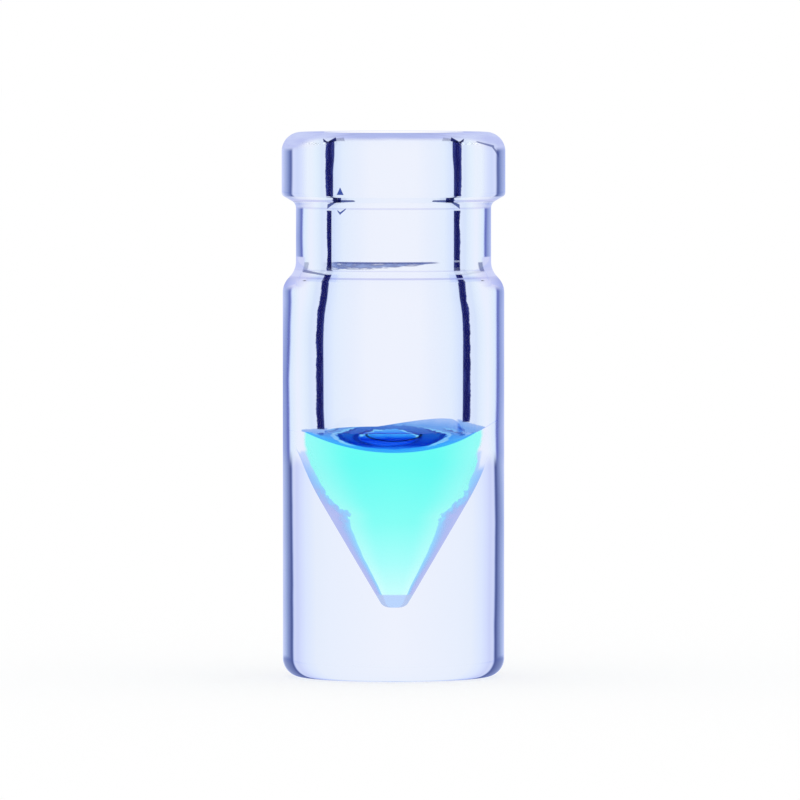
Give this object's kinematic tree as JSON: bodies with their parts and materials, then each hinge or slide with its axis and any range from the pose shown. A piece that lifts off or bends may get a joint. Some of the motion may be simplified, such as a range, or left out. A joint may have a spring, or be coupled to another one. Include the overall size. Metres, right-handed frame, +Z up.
{
  "type": "glass sample vial",
  "caption": "Thick-walled clear glass vial with a crimp rim, short neck and conical inner well in a solid base, holding a cyan liquid sample.",
  "frame": {"origin": "centre of the base, on the surface that the vial stands on", "axes": "+Z up along the vial's axis, out of its mouth"},
  "size_m": [0.011, 0.011, 0.0268],
  "materials": {
    "clear_glass": "polished clear glass with a faint cool tint",
    "cyan_liquid": "clear cyan liquid"
  },
  "bodies": {
    "root": {"vial": "clear_glass", "sample_liquid": "cyan_liquid"}
  },
  "joints": []
}
